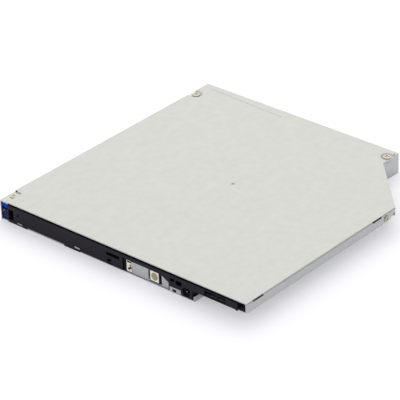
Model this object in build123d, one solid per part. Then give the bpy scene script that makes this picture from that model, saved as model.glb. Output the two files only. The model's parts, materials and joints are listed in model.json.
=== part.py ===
"""Slim internal disc writer: a stamped case, a cover, a sliding tray and the mechanism on it.

All sizes are in millimetres. Places are given in three distances from the front left
lower corner of the drive: u to the right, v to the rear and z up. When the pieces are
written they are moved so that the origin is the middle of the underside, with +Y to the
rear. The disc's axis and the feed of the pickup have a frame of their own, turned about Z.
"""
from build123d import *
import math
import os

# Outside of the drive
width = 128.0
depth = 126.1
height = 9.0
body_width = 102.0          # the part at full height, from the left side
wing_height = 4.1           # the thin part on the right, from the top down
corner_rear = 10.4          # from the 45 degree corner's rear end to the rear side
corner_start = depth - corner_rear - (width - body_width)   # where the corner leaves the right side

# Sheet metal
case_sheet = 0.4
cover_sheet = 0.45
flange_gap = 0.05           # between the cover's flange and the case inside it
flange_height = 3.9         # the cover's flange on the wing, from the top down
flange_end = 7.9            # the flange ends before the corner, so that the side screw stays free
flange_length = corner_start - flange_end
fold_radius = 0.8
slit_low = 8.3              # the two slits in the cover's fold, from this height up
slit_rest = 0.12            # what is left of the fold above a slit
slit_spans = ((3.5, 9.6), (flange_length - 6.4, flange_length - 0.8))
tooth_first = 3.4           # small notches in the flange's lower edge
tooth_step = 1.7
tooth_width = 0.6
tooth_depth = 0.25
ridge = ((5.3, depth - 3.3), (44.4, depth - 4.8))   # groove along the cover's rear edge
ridge_half = 0.3
ridge_depth = 0.08
dimple_radius = 0.75        # over the spindle
dimple_depth = 0.3
floor_setback = 0.9         # the case floor ends behind the tray's front wall
floor_front = 0.25          # and further forward where the wall leaves room for it
floor_runs = ((43.0, body_width - 13.0), (body_width - 6.4, body_width - case_sheet))
lip_run = (14.6, 34.5)      # upright lip at the floor's front edge
lip_front = 0.15
lip_top = 0.65
wall_notch = (3.4, 4.0, 2.2)     # the right wall's low front end: its length below and above, and height
wing_bevel = (corner_start - 3.7, corner_start + 0.8, 7.3)   # slanting rear end of the wing's wall
bead_rise = 0.2             # stiffening beads pressed into the floor
bead_half = 1.8
bead_wall = 0.3
bead_left = 14.0
bead_right = body_width - 12.0
bead_rear = depth - 34.1
beads = (
    (bead_left, 14.0, bead_left, bead_rear),
    (24.0, 14.0, 52.0, 14.0),
    (bead_right, 16.0, bead_right, bead_rear),
    (22.0, bead_rear + 4.0, 54.0, bead_rear + 4.0),
)
tool_holes = ((8.0, depth - 28.1), (body_width - 6.0, depth - 28.1))
tool_hole_radius = 1.6
vent_count = 6
vent_first = 50.0
vent_step = 5.0
vent_width = 3.5
vent_low = 2.4
vent_high = 3.4

# Screws that hold the cover
screw_radius = 0.98
screw_head_radius = 1.5
screw_head = 0.32
screw_end = 0.45            # how far a screw reaches below its lug
screw_clearance = 0.02
hole_clearance = 0.12       # round the screws in the cover
cross_length = 1.8
cross_width = 0.4
cross_depth = 0.27
side_head_radius = 1.3
pocket_depth = 0.4          # the cover is pressed down round each screw
front_pocket = (4.0, 8.7, 0.8)   # width, length and rounding of the pressed front left corner
rear_pocket_radius = 2.9
relief_holes = ((0.85, front_pocket[1]), (body_width - 0.8, depth - 1.9))   # where two pressings meet
relief_half = 0.35
lug_sheet = 0.4
lug_half = 2.1
lug_gap = 0.3               # between a lug and the tray that slides past it
front_screw = (2.45, 5.3)
rear_screw = (2.4, depth - 10.5)
right_screw = (body_width - 2.0, depth - 5.1)
side_screw_v = corner_start - 5.1
side_screw_z = 6.5
side_tab = (side_screw_v - 2.4, side_screw_v + 2.8, 5.45)    # the cover's tab behind the side screw
tab_v = right_screw[1] - 1.6     # tab of the cover in a notch of the wall beside the rear right screw
tab_half = 1.0
tab_depth = 1.4
tab_gap = 0.15

# Disc and tray
recess_radius = 60.5
recess_wall = 0.8
recess_left = 0.4           # of the tray, left of the disc recess
recess_front = 5.1          # of the tray, in front of the disc recess
tray_left = 4.5
tray_right = width - 4.9
disc_u = tray_left + recess_left + recess_radius
disc_v = recess_front + recess_radius
tray_rear_gap = 1.6         # behind the tray, in front of the case's rear wall
tray_top_gap = 0.55         # between the tray's rim and the cover
tray_floor = 0.6
tray_shelf_gap = 0.15       # between the tray and the wing's shelf
tray_skin = 0.8
tray_wall = 1.0
tray_under_gap = 0.35       # between the tray's lowest edge and the case floor
corner_gap = 1.3            # between the tray's and the case's cut corner, square to it
bay_depth = depth - 26.1    # the deep part of the tray, from the front
bay_right_gap = 1.0         # between the bay and the case's right side
rib_sides = 24              # sides of the rib that follows the disc recess underneath
rear_ribs = (bay_depth + 8.0, bay_depth + 16.0)  # ribs across the tray behind the bay
rear_rib_right = body_width - 14.0
rear_rib_low = 4.6
rear_rib_sheet = 0.8
tail_length = 12.0          # the bay's right wall goes on this far behind the bay
tail_low = 3.3              # lower edge of the bay's side walls behind the bay

# Tray's front wall; windows are given as left, right, bottom and top
front_wall = 1.2
front_left = 3.9
front_lip = 0.1             # height of the front wall's lower edge
front_lip_raised = 0.5      # and where the case floor reaches under it
front_gap = 0.2             # between that edge and the case floor behind it
front_top = 7.65            # the front edge is lower than the rest of the tray
front_step = 3.0
wing_window = (body_width + 5.0, body_width + 15.3, 5.4, 7.2)
wing_sill = 5.0             # lower edge of the shallow step under the wing's window
deep_windows = (
    (4.35, 7.05, 1.3, 5.9),
    (7.8, 8.5, 0.9, 1.6),
    (9.1, 10.1, 4.2, 5.1),
    (57.1, 64.0, 4.4, 5.8),
    (57.6, 59.8, 0.6, 3.0),
    (65.6, 66.7, 0.4, 6.3),
    (body_width - 12.1, body_width - 9.9, 4.9, 6.2),
    (body_width - 9.2, body_width - 6.3, 4.2, 6.2),
    wing_window,
)
window_depth = 4.0
shallow_depth = 0.4
lip_notch_top = 0.95        # cut over the case's lip
wing_boss = (wing_window[0] - 0.8, wing_window[1] + 0.8, 5.0)  # block behind it: left, right and rear
wing_tooth = (1.0, 4.3)     # small foot at the wing's right end: width and lower edge
cap_left = 0.5              # end cap in front of the left rail
cap_front = 0.5
cap_rear = 1.5
cap_low = 0.2
cap_top = 4.9
plate_tab = (body_width - 12.5, body_width - 6.9, 0.15, 2.4)    # the bottom sheet's tab in the front wall
plate_window = (plate_tab[0] + 1.4, plate_tab[1] - 2.2, 0.5, 1.7)
plate_notch = (plate_tab[0] - 0.3, plate_tab[1] + 0.3, 2.45)
small_tabs = ((40.2, 42.9, 1.2, 1.8), (8.9, 11.6, 0.8, 1.15))   # smaller tabs of the same sheet

# Slide rails
rail_sheet = 0.5
left_rail_height = 2.6
left_rail_width = 1.9
left_rail_low = 2.9
left_rail_front = 1.7
rail_length = 118.0
rail_start = 2.2
rail_gap = 0.1
guide_wall = 0.6
guide_front = 3.0
guide_width = 3.0
guide_feet = (8.0, 62.0, 116.0)
right_strip = (2.4, 0.6)    # width and thickness of the strip under the disc's edge
right_strip_low = 5.75
guide_block = (width - 4.7, width - 1.0, 0.1, 5.65)  # front end of the right guide: left, right, front, top
guide_block_gap = 0.05      # between that end and the tray's groove that passes over it

# Spindle motor and turntable
turntable_radius = 14.8
disc_seat = 6.85
hub_radius = 7.4
hub_rise = 1.25
rotor_radius = 12.0
rotor_wall = 0.6
rotor_low = 2.6
rotor_top = 5.4
magnet_ring = 1.15
shaft_radius = 1.0
bearing_radius = 2.4
stator_radius = 9.8
stator_hub = 4.4
stator_teeth = 9
stator_low = 2.9
stator_high = 4.1
fit_gap = 0.02

# Traverse: its own frame has s from the spindle out along the feed and t across it
feed_angle = 225.0
chassis_low = 2.0
chassis_high = 5.1
chassis_sheet = 0.6
chassis_wall = 0.8
chassis_back = 16.0
chassis_front = 71.5
chassis_half = 22.0
ear = 8.0                   # nose of the chassis round the front damper
slot_half = 11.5
rod_radius = 1.0
rod_half = 13.0             # the guide rods' distance from the feed's centre line
rod_height = 3.1
rod_start = 12.5
rod_end = 67.3
clip_length = 1.0
lens_in = 22.0              # the lens's distance from the spindle, parked
lens_travel = 36.0
carriage_half_length = 8.0
carriage_half_width = 15.4
carriage_low = 1.5
carriage_high = 4.3
lens_radius = 2.1
screw_t = 18.2
feed_screw_radius = 0.9
feed_screw_end = 64.8
feed_motor_radius = 2.1
feed_motor_start = -4.0
feed_motor_end = 6.0
feed_height = 3.2
damper_places = ((-12.0, -17.5), (-12.0, 17.0), (75.0, 2.0))   # in the traverse's frame
damper_radius = 3.1
damper_low = 3.4
damper_head_radius = 2.4
boss_pin_radius = 1.25
boss_half = 3.0
magnet_sides = 36

# Front fittings
switch_window = (67.0, 89.1, 0.3, 6.0)
switch_centre = (81.9, 3.6)
switch_size = 4.3
switch_gaps = (0.35, 1.2, 0.5)   # between the switch and the shield: left, right and below
switch_front = 0.15
button_radius = 1.55
button_travel = 0.25
button_seat = 0.95          # bottom of the switch's round hole, behind the front
lamp_right = 2.9            # the lamp and the shield beside it, from the window's left side
shield_left = 3.1
lamp_front = 0.45
lamp_cuts = ((0.6, 2.5, 4.75, 5.15), (1.5, 2.6, 3.0, 3.45), (1.9, 2.6, 3.4, 3.9), (1.3, 2.4, 1.2, 1.5))
eject_hole = (body_width - 4.0, 2.9, 1.0)

# Latch
latch_window = (5.9, 8.9, 1.3, 2.9)   # along v and z, in the tray's and the case's side walls
latch_clear = 0.35          # between the released hook and the case's wall
lever_low = 1.6
lever_sheet = 1.0
lever_pin_radius = 1.0
plunger_arm = 4.6           # from the lever's pivot to the solenoid's line
plunger_height = 2.15
plunger_radius = 0.85

# Main board and connector
board_front = depth - 23.5
board_left = 8.0
board_right = body_width - 18.5
board_thickness = 0.8
board_height = 0.8
chip_places = (             # middle from the board's front left corner, width, length and height
    (44.0, 8.9, 14.0, 14.0, 1.2),
    (60.0, 5.9, 8.0, 10.0, 1.1),
    (26.0, 5.9, 9.0, 6.0, 0.9),
    (14.0, 4.9, 5.0, 4.0, 0.9),
    (62.0, 16.4, 6.0, 5.0, 1.0),
)
flex_left = 62.0            # ribbons on the case floor and under the tray
flex_right = 76.0
flex_front = 34.0
flex_sheet = 0.1
pusher_u = body_width - 10.0
pusher_z = 3.0
pusher_radius = 1.5
pusher_end = depth - 7.6
housing_half = 3.0
housing_front = depth - 18.1
housing_rear = depth - 1.5
housing_top = 5.0
housing_end = 1.2           # wall at the barrel's rear end
connector_left = 13.0
connector_width = 30.0
connector_high = 5.25
rear_hole_u = (87.0, 97.0)
rear_hole_z = 2.9
rear_hole_radius = 0.8
rear_collar = 0.8

# Worked out from the sizes above
cover_under = height - cover_sheet
shelf_low = height - wing_height
shelf_top = shelf_low + case_sheet
case_right = width - cover_sheet - flange_gap
corner_sum = width + corner_start
tray_top = cover_under - tray_top_gap
floor_low = shelf_top + tray_shelf_gap
floor_top = floor_low + tray_floor
tray_low = case_sheet + tray_under_gap
tray_rear = depth - tray_rear_gap
pocket_floor = height - pocket_depth
lug_top = pocket_floor - cover_sheet


def block(u0, u1, v0, v1, z0, z1):
    """A rectangular block between its limits."""
    size = Box(u1 - u0, v1 - v0, z1 - z0)
    return Pos((u0 + u1) / 2, (v0 + v1) / 2, (z0 + z1) / 2) * size


def plate(points, z0, z1, rounding=0.0):
    """A flat plate with the outline of points, its corners rounded if asked."""
    face = make_face(Polyline(*points, close=True))
    if rounding:
        face = fillet(face.vertices(), rounding)
    return Pos(0, 0, z0) * extrude(face, z1 - z0)


def pad(u0, u1, v0, v1, z0, z1, rounding):
    """A block whose four upright edges are rounded."""
    face = RectangleRounded(u1 - u0, v1 - v0, rounding)
    return Pos((u0 + u1) / 2, (v0 + v1) / 2, z0) * extrude(face, z1 - z0)


def post(u, v, radius, z0, z1):
    """An upright cylinder."""
    return Pos(u, v, (z0 + z1) / 2) * Cylinder(radius, z1 - z0)


def ring(u, v, outer, inner, z0, z1):
    """An upright tube."""
    return post(u, v, outer, z0, z1) - post(u, v, inner, z0 - 1, z1 + 1)


def rod(u0, u1, v, z, radius):
    """A cylinder lying along u."""
    return Pos((u0 + u1) / 2, v, z) * Rot(0, 90, 0) * Cylinder(radius, u1 - u0)


def arrow(u, v0, v1, z, radius):
    """A cylinder lying along v."""
    return Pos(u, (v0 + v1) / 2, z) * Rot(90, 0, 0) * Cylinder(radius, v1 - v0)


def on_traverse(part):
    """Moves a piece from the traverse's frame to the drive's."""
    return Pos(disc_u, disc_v, 0) * Rot(0, 0, feed_angle) * part


def outline(right, inset=0.0):
    """The case's plan, with its right side at right and every side drawn in by inset."""
    slant = inset * (math.sqrt(2) - 1)
    cut = corner_sum
    return [
        (inset, inset),
        (right - inset, inset),
        (right - inset, cut - right - slant),
        (body_width - inset, cut - body_width - slant),
        (body_width - inset, depth - inset),
        (inset, depth - inset),
    ]


def prism(u0, u1, section):
    """A prism along u with the section given by points in v and z."""
    face = make_face(Polyline(*[(u0, v, z) for v, z in section], close=True))
    return extrude(face, u1 - u0, dir=(1, 0, 0))


def screw_lug(u, v, left, right, front, rear):
    """A folded lug under the cover with a hole for a screw."""
    lug = block(left, right, front, rear, lug_top - lug_sheet, lug_top)
    return lug - post(u, v, screw_radius + screw_clearance, 0, height)


def rear_corner_pocket(grow=0.0):
    """Plan area of the cover's pressed pocket at the rear left screw."""
    u, v = rear_screw
    reach = rear_pocket_radius + grow
    return post(u, v, reach, 0, height) + block(-1, u, v - reach, v + reach, 0, height)


def front_corner_pocket(grow=0.0):
    """Plan area of the cover's pressed front left corner."""
    right, rear, rounding = front_pocket
    return pad(-3, right + grow, -3, rear + grow, 0, height, rounding + grow)


def right_corner_pocket(grow=0.0):
    """Plan area of the cover's pressed pocket at the rear right screw."""
    u, v = right_screw
    reach = rear_pocket_radius + grow
    return post(u, v, reach, 0, height) + block(u, width, v - reach, v + reach, 0, height)


def bottom_case():
    """One stamped sheet: pan, walls, the wing's raised shelf, lugs and beads."""
    body = block(0, body_width, 0, depth, 0, cover_under)
    case = body + plate(outline(case_right), shelf_low, cover_under)
    t = case_sheet
    case -= block(t, body_width - t, -1, depth - t, t, height)
    case -= plate(outline(case_right, t), shelf_top, height)
    mouth = block(t, case_right - t, -1, floor_setback, shelf_low - 1, height)
    case -= mouth
    case -= block(t, body_width - t, -1, floor_setback, -1, height)
    case -= block(body_width - 1, case_right, -1, floor_setback, shelf_low, shelf_top)
    for pocket in (rear_corner_pocket, front_corner_pocket, right_corner_pocket):
        case -= pocket(cover_sheet) & block(-1, width, -1, depth + 1, lug_top, height)
    reach = tray_left - lug_gap
    for u, v in (front_screw, rear_screw):
        case += screw_lug(u, v, t, reach, v - lug_half, v + lug_half)
    u, v = right_screw
    case += screw_lug(u, v, u - lug_half, body_width - t, v - lug_half, depth - t)
    case -= block(body_width - 1, body_width + 1, *latch_window)
    for v0, v1 in slit_spans:
        case -= block(case_right - 1, width, v0 + tab_gap, v1 - tab_gap, slit_low - tab_gap, cover_under)
    case -= rod(case_right - 1, width, side_screw_v, side_screw_z, screw_radius + screw_clearance)
    case = bevel_walls(case)
    case = stamp_floor(case)
    return pierce_rear(case)


def bevel_walls(case):
    """Lowers the front end of the right wall and cuts the rear end of the wing's wall at a slant."""
    low_v, top_v, end_z = wall_notch
    front = [(-1, end_z), (-1, shelf_low), (top_v, shelf_low), (low_v, end_z)]
    case -= prism(body_width - 2 * case_sheet, body_width + 1, front)
    v0, v1, z1 = wing_bevel
    rear = [(v0, shelf_low - 1), (v1, shelf_low - 1), (v1, z1), (v0, shelf_low)]
    return case - prism(case_right - 1, width, rear)


def bead(u0, v0, u1, v1, half, z0, z1):
    """A straight pressed bead with pointed ends."""
    reach = math.hypot(u1 - u0, v1 - v0) / 2
    turn = math.degrees(math.atan2(v1 - v0, u1 - u0))
    points = [(-reach - half, 0), (-reach, -half), (reach, -half), (reach + half, 0), (reach, half), (-reach, half)]
    return Pos((u0 + u1) / 2, (v0 + v1) / 2, 0) * Rot(0, 0, turn) * plate(points, z0, z1)


def stamp_floor(case):
    """Shapes the floor's front edge, presses its beads and pierces its tool holes."""
    t = case_sheet
    for u0, u1 in floor_runs:
        case += block(u0, u1, floor_front, floor_setback + t, 0, t)
    u0, u1 = lip_run
    case += block(u0, u1, lip_front, floor_setback + t, 0, t)
    case += block(u0, u1, lip_front, lip_front + t, 0, lip_top)
    for u0, v0, u1, v1 in beads:
        case += bead(u0, v0, u1, v1, bead_half, t, t + bead_rise)
        case -= bead(u0, v0, u1, v1, bead_half - bead_wall, -1, bead_rise)
    for u, v in tool_holes:
        case -= post(u, v, tool_hole_radius, -1, 2)
    return case


def pierce_rear(case):
    """Cuts the rear wall for the connector and the vents, and adds the threaded blocks."""
    t = case_sheet
    right = connector_left + connector_width
    case -= block(connector_left - 0.3, right + 0.3, depth - 1, depth + 1, 1.2, connector_high + 0.3)
    for i in range(vent_count):
        left = vent_first + vent_step * i
        case -= block(left, left + vent_width, depth - 1, depth + 1, vent_low, vent_high)
    reach = rear_hole_radius + 0.6
    for u in rear_hole_u:
        low, high = rear_hole_z - reach, rear_hole_z + reach
        case += block(u - reach, u + reach, depth - t - rear_collar, depth - t, low, high)
        case -= arrow(u, depth - 4, depth + 1, rear_hole_z, rear_hole_radius)
    half = tab_half + tab_gap
    low = height - tab_depth - tab_gap
    return case - block(body_width - 2 * t, body_width + 1, tab_v - half, tab_v + half, low, height)


def top_cover():
    """The lid: a flat sheet with pressed screw pockets, a dimple and a folded flange."""
    cover = plate(outline(width), cover_under, height)
    wall = block(width - cover_sheet, width, 0, flange_length, height - flange_height, height)
    cover += wall
    fold = cover.edges().filter_by(Axis.Y).group_by(Axis.X)[-1].group_by(Axis.Z)[-1]
    cover = fillet(fold, fold_radius)
    for v0, v1 in slit_spans:
        cover -= block(width - cover_sheet - 0.3, width + 1, v0, v1, slit_low, height - slit_rest)
    edge = height - flange_height
    for i in range(4):
        v0 = tooth_first + tooth_step * i
        cover -= block(width - 1, width + 1, v0, v0 + tooth_width, edge - 1, edge + tooth_depth)
    lower = height - pocket_depth
    for pocket in (rear_corner_pocket, front_corner_pocket, right_corner_pocket):
        area = plate(outline(width), 0, height)
        hollow = pocket() & area
        step = pocket(cover_sheet) & area
        cover -= hollow & block(0, width, 0, depth, lower, height)
        cover += step & block(0, width, 0, depth, lower - cover_sheet, cover_under)
    for u, v in (front_screw, rear_screw, right_screw):
        cover -= post(u, v, screw_radius + hole_clearance, 0, height + 1)
    for u, v in relief_holes:
        cover -= block(u - relief_half, u + relief_half, v - relief_half, v + relief_half, 0, height + 1)
    right = body_width
    cover += block(right - cover_sheet, right, tab_v - tab_half, tab_v + tab_half, height - tab_depth, lower)
    v0, v1, low = side_tab
    cover += block(case_right - 2 * cover_sheet, case_right - cover_sheet, v0, v1, low, cover_under)
    cover -= rod(case_right - 2, width, side_screw_v, side_screw_z, screw_radius + screw_clearance)
    cover -= Pos(disc_u, disc_v, height) * Cone(dimple_radius - dimple_depth, dimple_radius + dimple_depth,
                                                2 * dimple_depth)
    (u0, v0), (u1, v1) = ridge
    return cover - bead(u0, v0, u1, v1, ridge_half, height - ridge_depth, height + 1)


def cross_cut():
    """The two slots of a cross recess, for a screw that points down."""
    slot = Box(cross_length, cross_width, 2 * cross_depth)
    return Rot(0, 0, 45) * slot + Rot(0, 0, 135) * slot


def screw_at(u, v):
    """A cover screw: a flat head with a cross recess and its shank."""
    screw = post(u, v, screw_head_radius, pocket_floor, pocket_floor + screw_head)
    screw += post(u, v, screw_radius, lug_top - lug_sheet - screw_end, pocket_floor)
    return screw - Pos(u, v, pocket_floor + screw_head) * cross_cut()


def cover_screws():
    """Three screws through the cover's pockets and one through the wing's side wall."""
    screws = [screw_at(u, v) for u, v in (front_screw, rear_screw, right_screw)]
    head = rod(case_right, width - fit_gap, side_screw_v, side_screw_z, side_head_radius)
    shank = rod(case_right - 2 * cover_sheet - fit_gap, case_right, side_screw_v, side_screw_z, screw_radius)
    place = Pos(width - fit_gap, side_screw_v, side_screw_z) * Rot(0, 90, 0)
    return screws + [head + shank - place * cross_cut()]


def left_rail_guide():
    """Moulded channel on the case's left wall that holds the left slide rail."""
    low = left_rail_low - rail_gap - guide_wall * 0.8
    high = left_rail_low + left_rail_height + rail_gap + guide_wall * 0.8
    inner = case_sheet + guide_wall
    outer = case_sheet + guide_width
    v0, v1 = guide_front, depth - case_sheet - 1.1
    guide = block(case_sheet, outer, v0, v1, low, high)
    guide -= block(inner, outer + 1, v0 - 1, v1 - 1.0, low + guide_wall * 0.8, high - guide_wall * 0.8)
    for v in guide_feet:
        guide += block(case_sheet, outer, v - guide_width, v + guide_width, case_sheet, low)
    return guide


def corner_stop():
    """Coloured moulded stop in the front left corner, under the pressed corner."""
    low = left_rail_low + left_rail_height + rail_gap
    return pad(case_sheet, front_left, 0.7, guide_front, low, lug_top, 0.4)


def left_slide_rail():
    """C-section steel rail between the case's guide and the tray's runner."""
    u0 = case_sheet + guide_wall + rail_gap
    v0, v1 = left_rail_front, left_rail_front + rail_length
    z0, z1 = left_rail_low, left_rail_low + left_rail_height
    rail = block(u0, u0 + left_rail_width, v0, v1, z0, z1)
    return rail - block(u0 + rail_sheet, u0 + 3, v0 - 1, v1 - 0.6, z0 + rail_sheet, z1 - rail_sheet)


def right_rail_guide():
    """Thin moulded channel on the wing's shelf for the right slide rail."""
    strip = right_strip[1]
    inner = case_right - case_sheet
    web = inner - 0.4
    z1 = right_strip_low + strip + rail_gap + 0.25
    v0, v1 = guide_front, flange_length - 1.0
    guide = block(web, inner, v0, v1, shelf_top, z1)
    guide += block(web - 1.1, inner, v0, v1, shelf_top, right_strip_low - rail_gap)
    guide += block(web - 0.7, inner, v0, v1, z1 - 0.25, z1)
    left, right, front, top = guide_block
    guide += block(left, right, front, floor_setback - fit_gap, shelf_low + 0.05, floor_low - guide_block_gap)
    return guide + block(web - 1.1, right, front, v0, shelf_top, top)


def right_slide_rail():
    """Flat steel strip that runs under the edge of the disc."""
    strip_width, strip = right_strip
    right = case_right - case_sheet - 0.4 - rail_gap
    low = right_strip_low
    return block(right - strip_width, right, rail_start + 1.0, flange_length, low, low + strip)


def tray_plan(inset=0.0):
    """The tray's outline, with a cut rear right corner."""
    slant = inset * (math.sqrt(2) - 1)
    cut = corner_sum - corner_gap * math.sqrt(2)
    rear_right = right_screw[0] - 2.4
    return [
        (tray_left + inset, inset),
        (tray_right - inset, inset),
        (tray_right - inset, cut - tray_right - slant),
        (rear_right - inset, cut - rear_right - slant),
        (rear_right - inset, tray_rear - inset),
        (tray_left + inset, tray_rear - inset),
    ]


def tray():
    """The moulded tray: rim, disc recess, deep bay, front wall, runners and bosses."""
    whole = plate(tray_plan(), floor_low, tray_top)
    inner = plate(tray_plan(tray_wall), floor_low - 1, tray_top - tray_skin)
    body = whole - inner
    body += whole & recess_rib()
    body -= post(disc_u, disc_v, recess_radius, floor_top, height)
    body += deep_bay()
    body += front_face()
    body -= mechanism_opening()
    body += damper_bosses()
    body += runners()
    return cut_front(body)


def recess_rib():
    """The straight-sided rib that carries the disc recess underneath."""
    turn = math.pi / rib_sides
    radius = (recess_radius + recess_wall) / math.cos(turn)
    points = [(disc_u + radius * math.cos(2 * i * turn), disc_v + radius * math.sin(2 * i * turn))
              for i in range(rib_sides)]
    return plate(points, floor_low, tray_top)


def deep_bay():
    """Walls that reach down round the mechanism, and ribs behind it."""
    right = body_width - bay_right_gap
    rear = bay_depth
    wall = tray_wall
    top = floor_low + tray_floor / 2
    bay = block(tray_left, tray_left + wall, 0, rear, tray_low, tray_top - 0.2)
    bay += block(right - wall, right, 0, rear, tray_low, top)
    bay += block(tray_left, right, rear - wall, rear, tray_low, top)
    bay += block(tray_left, tray_left + wall, rear, tray_rear, tail_low, top)
    bay += block(right - wall, right, rear, rear + tail_length, tail_low, top)
    for v in rear_ribs:
        bay += block(tray_left + wall, rear_rib_right, v, v + rear_rib_sheet, rear_rib_low, top)
    return bay


def front_face():
    """The tall front wall and its lower part in front of the wing."""
    right = body_width - bay_right_gap
    lip = floor_setback - front_gap
    wall = block(front_left, right, 0, lip, front_lip, tray_top)
    wall += block(front_left, right, 0, front_wall, tray_low, tray_top)
    wall += block(right, tray_right, 0, lip, shelf_low - 0.35, tray_top)
    wall += block(right, tray_right, 0, front_wall, floor_low, tray_top)
    left, boss_right, rear = wing_boss
    wall += block(left, boss_right, front_wall - 0.1, rear, floor_low, tray_top - tray_skin + 0.1)
    across, low = wing_tooth
    return wall + block(tray_right - across, tray_right, 0, lip, low, shelf_low)


def tray_end_cap():
    """Dark blue moulded cap on the tray's front wall, in front of the left rail."""
    cap = block(cap_left, front_left, cap_front, floor_setback - 0.1, cap_low, cap_top)
    return cap + block(cap_left, front_left, cap_front, cap_rear, tray_low, cap_top)


def mechanism_opening():
    """The opening in the tray's floor over the turntable and the pickup's way."""
    way = pad(0, chassis_front - 3, -slot_half - 2.5, slot_half + 2.5, 0, floor_top + 0.5, 3.0)
    way += post(0, 0, turntable_radius + 1.6, 0, floor_top + 0.5)
    keep = block(-chassis_front, chassis_front, -60, 60, floor_low - 0.5, floor_top + 0.5)
    return on_traverse(way & keep)


def damper_bosses():
    """Blocks and pins under the tray that the traverse hangs from; the front one is the longest."""
    roots = (floor_top, floor_top, tray_top - tray_skin + 0.1)
    joined = None
    for (s, t), root in zip(damper_places, roots):
        boss = post(s, t, boss_pin_radius, damper_low, root)
        half = boss_half
        boss += block(s - half, s + half, t - half, t + half, floor_low - 0.05, root)
        joined = on_traverse(boss) if joined is None else joined + on_traverse(boss)
    return joined


def runners():
    """The rib that runs in the left rail and the groove round the right strip."""
    left = case_sheet + guide_wall + rail_gap + rail_sheet + rail_gap
    z0 = left_rail_low + rail_sheet + rail_gap
    z1 = left_rail_low + left_rail_height - rail_sheet - rail_gap
    runner = block(left, tray_left + 0.5, 3.4, 119.0, z0, z1)
    strip_width, strip = right_strip
    reach = case_right - case_sheet - 0.4 - rail_gap - strip_width + 0.9
    rear = corner_sum - corner_gap * math.sqrt(2) - tray_right - 1.5
    z0, z1 = right_strip_low - rail_gap, right_strip_low + strip + rail_gap
    runner += block(tray_right - 0.5, reach, 3.4, rear, floor_low, z0)
    runner += block(tray_right - 0.5, reach, 3.4, rear, z1, z1 + 0.25)
    return runner


def cut_front(body):
    """Cuts the windows and hook holes of the front wall."""
    u0, u1, z0, z1 = switch_window
    window = [(u0, z0), (u1, z0), (u1, z1 - 2.2), (u1 - 3.4, z1 - 0.4), (u1 - 3.9, z1), (u0, z1)]
    face = make_face(Polyline(*[(u, 0, z) for u, z in window], close=True))
    body -= Pos(0, -1, 0) * extrude(face, -6.0, dir=(0, -1, 0))
    for u0, u1, z0, z1 in deep_windows:
        body -= block(u0, u1, -1, window_depth, z0, z1)
    u0, u1, z0, z1 = wing_window
    body -= block(u0, u1, -1, shallow_depth, wing_sill, z0)
    u0, u1 = lip_run
    body -= block(u0 - 0.1, u1 + 0.1, -1, front_wall + 0.1, -1, lip_notch_top)
    body -= block(floor_runs[0][0] - 0.1, body_width, -1, front_wall, -1, front_lip_raised)
    body -= block(front_left - 1, tray_right + 1, -1, front_step, front_top, height)
    u0, u1, top = plate_notch
    body -= block(u0, u1, -1, 0.45, -1, top)
    body -= block(u0, u1, -1, 2.0, tray_low - 0.1, tray_low + 0.3)
    for u0, u1, z0, z1 in small_tabs:
        body -= block(u0 - 0.1, u1 + 0.1, -1, front_wall + 0.1, z0 - 0.1, z1 + 0.1)
    body -= block(body_width - 3, body_width, *latch_window)
    u, z, radius = eject_hole
    body -= arrow(u, -1, front_wall + 1, z, radius)
    body -= arrow(u, -1, 0.9, z, 2 * radius)
    return body


def tray_bottom_cover():
    """Steel sheet under the tray's bay, with three tabs folded up at the front."""
    sheet = 0.25
    low, high = tray_low, tray_low + sheet
    left, right = tray_left + tray_wall + 0.1, body_width - bay_right_gap - tray_wall - 0.1
    cover = block(left, right, front_wall + 0.1, bay_depth - tray_wall - 0.1, low, high)
    u0, u1, z0, z1 = plate_tab
    cover += block(u0, u1, 0.05, 2.0, low, high)
    cover += block(u0, u1, 0.05, 0.35, z0, z1)
    u0, u1, z0, z1 = plate_window
    cover -= block(u0, u1, -1, 1.0, z0, z1)
    for u0, u1, z0, z1 in small_tabs:
        cover += block(u0, u1, front_wall + 0.1, front_wall + 0.1 + sheet, low, z0 + sheet)
        cover += block(u0, u1, 0.05, front_wall + 0.1 + sheet, z0, z0 + sheet)
        cover += block(u0, u1, 0.05, 0.05 + sheet, z0, z1)
    return cover


def switch_board():
    """Small printed board behind the front window."""
    u0, u1, z0, z1 = switch_window
    return block(u0, u1 - 0.2, front_wall + 0.05, front_wall + 0.65, z0 + 0.8, z1 - 0.6)


def switch_shield():
    """Bright steel plate in the window, cut out for the switch."""
    u0, u1, z0, z1 = switch_window
    left = u0 + shield_left
    z0 += 0.2
    points = [(left, z0), (u1 - 0.2, z0), (u1 - 0.2, z1 - 2.35), (u1 - 3.5, z1 - 0.55),
              (u1 - 4.0, z1 - 0.12), (left, z1 - 0.12)]
    face = make_face(Polyline(*[(u, 0, z) for u, z in points], close=True))
    shield = Pos(0, 0.5, 0) * extrude(face, -0.3, dir=(0, -1, 0))
    su, sz = switch_centre
    half = switch_size / 2
    gap_left, gap_right, gap_low = switch_gaps
    return shield - block(su - half - gap_left, su + half + gap_right, 0, 2, sz - half - gap_low, z1)


def switch_body():
    """Square body of the push switch, with a round hole for its button."""
    su, sz = switch_centre
    half = switch_size / 2
    body = block(su - half, su + half, switch_front, front_wall + 0.05, sz - half, sz + half)
    return body - arrow(su, 0, button_seat, sz, button_radius + 0.06)


def eject_button():
    """Round button of the push switch."""
    su, sz = switch_centre
    button = arrow(su, fit_gap, button_seat - button_travel - 0.02, sz, button_radius)
    rim = button.edges().filter_by(GeomType.CIRCLE).group_by(Axis.Y)[0]
    return chamfer(rim, 0.1)


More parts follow.
